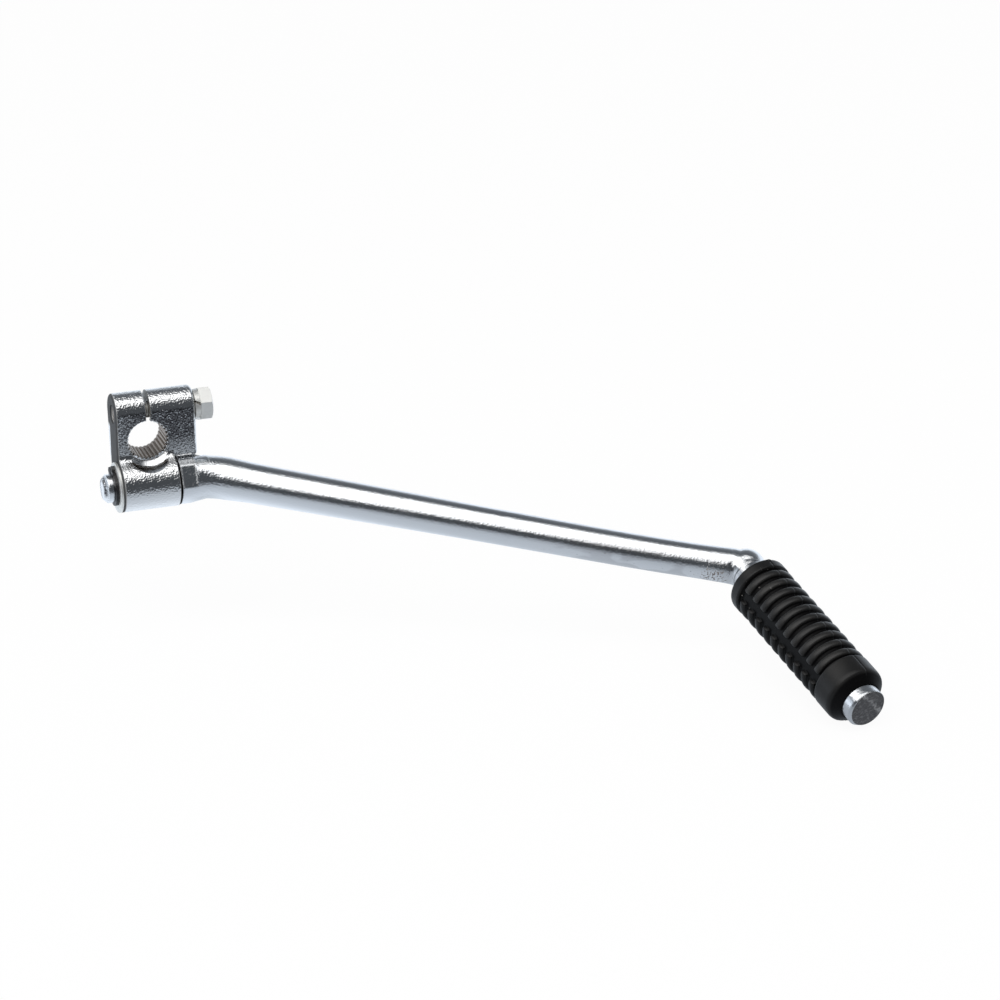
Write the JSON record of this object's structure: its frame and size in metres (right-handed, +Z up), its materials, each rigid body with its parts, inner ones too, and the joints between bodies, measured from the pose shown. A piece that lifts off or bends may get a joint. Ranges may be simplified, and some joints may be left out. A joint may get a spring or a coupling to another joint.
{
  "type": "kick start lever",
  "caption": "Folding kick start lever: serrated clamp boss with pinch bolt, hinged bent bar arm with a detent, and a ribbed rubber sleeve on its peg.",
  "frame": {"origin": "centre of the serrated bore at mid thickness of the boss", "axes": "+X along the fold pivot from the boss to the arm, +Y along the bore from the outer face to the engine side, +Z up through the clamp slit"},
  "size_m": [0.2097, 0.16, 0.0796],
  "materials": {
    "boss_chrome": "bright plating over rough cast grain",
    "arm_chrome": "bright plating",
    "rubber": "matte moulded",
    "zinc": "pale zinc plate",
    "spring_steel": "blackened",
    "bearing_steel": "polished"
  },
  "bodies": {
    "boss_body": {"boss": "boss_chrome", "pinch_bolt": "zinc", "spring_washer": "zinc", "pivot_washer": "zinc"},
    "arm_body": {"lever_arm": "arm_chrome", "pedal_rubber": "rubber", "circlip": "spring_steel", "detent_spring": "spring_steel"},
    "ball_body": {"detent_ball": "bearing_steel"}
  },
  "joints": [
    {"name": "fold", "type": "hinge", "parent": "boss_body", "child": "arm_body", "pos_m": [0, -0.0066, -0.01445], "axis": [1, 0, 0], "range_deg": [-100, 0]},
    {"name": "detent", "type": "slide", "parent": "arm_body", "child": "ball_body", "axis": [0, 0, 1], "range_m": [0, 0.0003], "stiffness_N_per_m": 400, "springref_m": 0.0008, "deforming": ["detent_spring"]}
  ]
}
